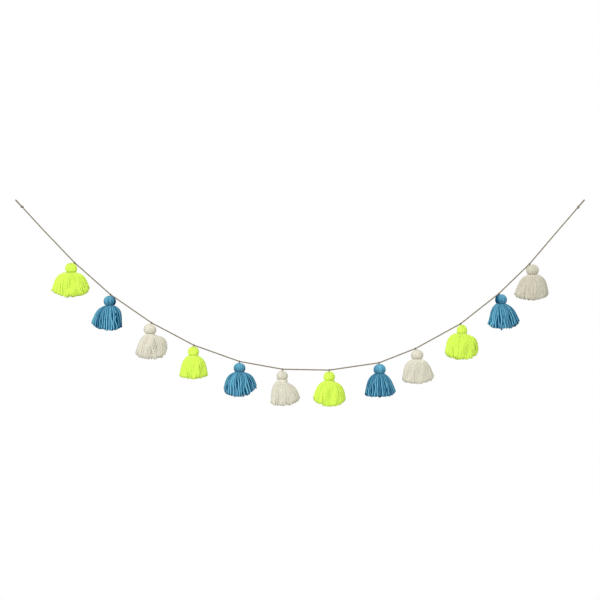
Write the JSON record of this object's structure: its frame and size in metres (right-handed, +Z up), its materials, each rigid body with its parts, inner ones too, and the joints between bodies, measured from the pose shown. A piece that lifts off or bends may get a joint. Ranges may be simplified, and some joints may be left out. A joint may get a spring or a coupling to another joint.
{
  "type": "tassel garland",
  "caption": "Swag of wool yarn tassels in neon yellow, blue and cream, tied along a jute twine that ends in hanging loops; each tassel swings on its tie.",
  "frame": {"origin": "the hook point inside the left end loop", "axes": "+X from the left hook to the right hook, +Z up, and the front is seen along +Y"},
  "size_m": [1.237, 0.0634, 0.4497],
  "materials": {
    "jute_twine": "matte",
    "wool_neon": "matte",
    "wool_blue": "matte",
    "wool_cream": "matte"
  },
  "bodies": {
    "root": {"twine": "jute_twine", "left_end_loop": "jute_twine", "right_end_loop": "jute_twine", "left_end_knot": "jute_twine", "right_end_knot": "jute_twine"},
    "tassel_01_tie": {"tassel_01_top_tie": "jute_twine"},
    "tassel_01": {"tassel_01_head": "wool_neon", "tassel_01_neck_binding": "wool_neon", "tassel_01_skirt": "wool_neon"},
    "tassel_02_tie": {"tassel_02_top_tie": "jute_twine"},
    "tassel_02": {"tassel_02_head": "wool_blue", "tassel_02_neck_binding": "wool_blue", "tassel_02_skirt": "wool_blue"},
    "tassel_03_tie": {"tassel_03_top_tie": "jute_twine"},
    "tassel_03": {"tassel_03_head": "wool_cream", "tassel_03_neck_binding": "wool_cream", "tassel_03_skirt": "wool_cream"},
    "tassel_04_tie": {"tassel_04_top_tie": "jute_twine"},
    "tassel_04": {"tassel_04_head": "wool_neon", "tassel_04_neck_binding": "wool_neon", "tassel_04_skirt": "wool_neon"},
    "tassel_05_tie": {"tassel_05_top_tie": "jute_twine"},
    "tassel_05": {"tassel_05_head": "wool_blue", "tassel_05_neck_binding": "wool_blue", "tassel_05_skirt": "wool_blue"},
    "tassel_06_tie": {"tassel_06_top_tie": "jute_twine"},
    "tassel_06": {"tassel_06_head": "wool_cream", "tassel_06_neck_binding": "wool_cream", "tassel_06_skirt": "wool_cream"},
    "tassel_07_tie": {"tassel_07_top_tie": "jute_twine"},
    "tassel_07": {"tassel_07_head": "wool_neon", "tassel_07_neck_binding": "wool_neon", "tassel_07_skirt": "wool_neon"},
    "tassel_08_tie": {"tassel_08_top_tie": "jute_twine"},
    "tassel_08": {"tassel_08_head": "wool_blue", "tassel_08_neck_binding": "wool_blue", "tassel_08_skirt": "wool_blue"},
    "tassel_09_tie": {"tassel_09_top_tie": "jute_twine"},
    "tassel_09": {"tassel_09_head": "wool_cream", "tassel_09_neck_binding": "wool_cream", "tassel_09_skirt": "wool_cream"},
    "tassel_10_tie": {"tassel_10_top_tie": "jute_twine"},
    "tassel_10": {"tassel_10_head": "wool_neon", "tassel_10_neck_binding": "wool_neon", "tassel_10_skirt": "wool_neon"},
    "tassel_11_tie": {"tassel_11_top_tie": "jute_twine"},
    "tassel_11": {"tassel_11_head": "wool_blue", "tassel_11_neck_binding": "wool_blue", "tassel_11_skirt": "wool_blue"},
    "tassel_12_tie": {"tassel_12_top_tie": "jute_twine"},
    "tassel_12": {"tassel_12_head": "wool_cream", "tassel_12_neck_binding": "wool_cream", "tassel_12_skirt": "wool_cream"}
  },
  "joints": [
    {"name": "tassel_01_swing", "type": "hinge", "parent": "root", "child": "tassel_01_tie", "pos_m": [0.12665, 0, -0.13469], "axis": [0.72, 0, -0.694], "range_deg": [-90, 90]},
    {"name": "tassel_01_sway", "type": "hinge", "parent": "tassel_01_tie", "child": "tassel_01", "pos_m": [0.12665, 0, -0.13469], "axis": [0, -1, 0], "range_deg": [-8, 0]},
    {"name": "tassel_02_swing", "type": "hinge", "parent": "root", "child": "tassel_02_tie", "pos_m": [0.20451, 0, -0.20387], "axis": [0.787, 0, -0.617], "range_deg": [-90, 90]},
    {"name": "tassel_02_sway", "type": "hinge", "parent": "tassel_02_tie", "child": "tassel_02", "pos_m": [0.20451, 0, -0.20387], "axis": [0, -1, 0], "range_deg": [-8, 0]},
    {"name": "tassel_03_swing", "type": "hinge", "parent": "root", "child": "tassel_03_tie", "pos_m": [0.29371, 0, -0.26533], "axis": [0.8551, 0, -0.5184], "range_deg": [-90, 90]},
    {"name": "tassel_03_sway", "type": "hinge", "parent": "tassel_03_tie", "child": "tassel_03", "pos_m": [0.29371, 0, -0.26533], "axis": [0, -1, 0], "range_deg": [-8, 8]},
    {"name": "tassel_04_swing", "type": "hinge", "parent": "root", "child": "tassel_04_tie", "pos_m": [0.38549, 0, -0.3139], "axis": [0.9153, 0, -0.4027], "range_deg": [-90, 90]},
    {"name": "tassel_04_sway", "type": "hinge", "parent": "tassel_04_tie", "child": "tassel_04", "pos_m": [0.38549, 0, -0.3139], "axis": [0, -1, 0], "range_deg": [-8, 8]},
    {"name": "tassel_05_swing", "type": "hinge", "parent": "root", "child": "tassel_05_tie", "pos_m": [0.48467, 0, -0.34923], "axis": [0.9663, 0, -0.2575], "range_deg": [-90, 90]},
    {"name": "tassel_05_sway", "type": "hinge", "parent": "tassel_05_tie", "child": "tassel_05", "pos_m": [0.48467, 0, -0.34923], "axis": [0, -1, 0], "range_deg": [-8, 8]},
    {"name": "tassel_06_swing", "type": "hinge", "parent": "root", "child": "tassel_06_tie", "pos_m": [0.57842, 0, -0.36616], "axis": [0.9952, 0, -0.0983], "range_deg": [-90, 90]},
    {"name": "tassel_06_sway", "type": "hinge", "parent": "tassel_06_tie", "child": "tassel_06", "pos_m": [0.57842, 0, -0.36616], "axis": [0, -1, 0], "range_deg": [-8, 8]},
    {"name": "tassel_07_swing", "type": "hinge", "parent": "root", "child": "tassel_07_tie", "pos_m": [0.67932, 0, -0.368], "axis": [0.998, 0, 0.0635], "range_deg": [-90, 90]},
    {"name": "tassel_07_sway", "type": "hinge", "parent": "tassel_07_tie", "child": "tassel_07", "pos_m": [0.67932, 0, -0.368], "axis": [0, -1, 0], "range_deg": [-8, 8]},
    {"name": "tassel_08_swing", "type": "hinge", "parent": "root", "child": "tassel_08_tie", "pos_m": [0.78749, 0, -0.35218], "axis": [0.9666, 0, 0.2563], "range_deg": [-90, 90]},
    {"name": "tassel_08_sway", "type": "hinge", "parent": "tassel_08_tie", "child": "tassel_08", "pos_m": [0.78749, 0, -0.35218], "axis": [0, -1, 0], "range_deg": [-8, 8]},
    {"name": "tassel_09_swing", "type": "hinge", "parent": "root", "child": "tassel_09_tie", "pos_m": [0.86647, 0, -0.32126], "axis": [0.9057, 0, 0.4238], "range_deg": [-90, 90]},
    {"name": "tassel_09_sway", "type": "hinge", "parent": "tassel_09_tie", "child": "tassel_09", "pos_m": [0.86647, 0, -0.32126], "axis": [0, -1, 0], "range_deg": [-8, 8]},
    {"name": "tassel_10_swing", "type": "hinge", "parent": "root", "child": "tassel_10_tie", "pos_m": [0.96429, 0, -0.26754], "axis": [0.8337, 0, 0.5522], "range_deg": [-90, 90]},
    {"name": "tassel_10_sway", "type": "hinge", "parent": "tassel_10_tie", "child": "tassel_10", "pos_m": [0.96429, 0, -0.26754], "axis": [0, -1, 0], "range_deg": [-8, 8]},
    {"name": "tassel_11_swing", "type": "hinge", "parent": "root", "child": "tassel_11_tie", "pos_m": [1.04782, 0, -0.20166], "axis": [0.7532, 0, 0.6578], "range_deg": [-90, 90]},
    {"name": "tassel_11_sway", "type": "hinge", "parent": "tassel_11_tie", "child": "tassel_11", "pos_m": [1.04782, 0, -0.20166], "axis": [0, -1, 0], "range_deg": [0, 8]},
    {"name": "tassel_12_swing", "type": "hinge", "parent": "root", "child": "tassel_12_tie", "pos_m": [1.1141, 0, -0.13763], "axis": [0.6848, 0, 0.7287], "range_deg": [-90, 90]},
    {"name": "tassel_12_sway", "type": "hinge", "parent": "tassel_12_tie", "child": "tassel_12", "pos_m": [1.1141, 0, -0.13763], "axis": [0, -1, 0], "range_deg": [0, 8]}
  ]
}
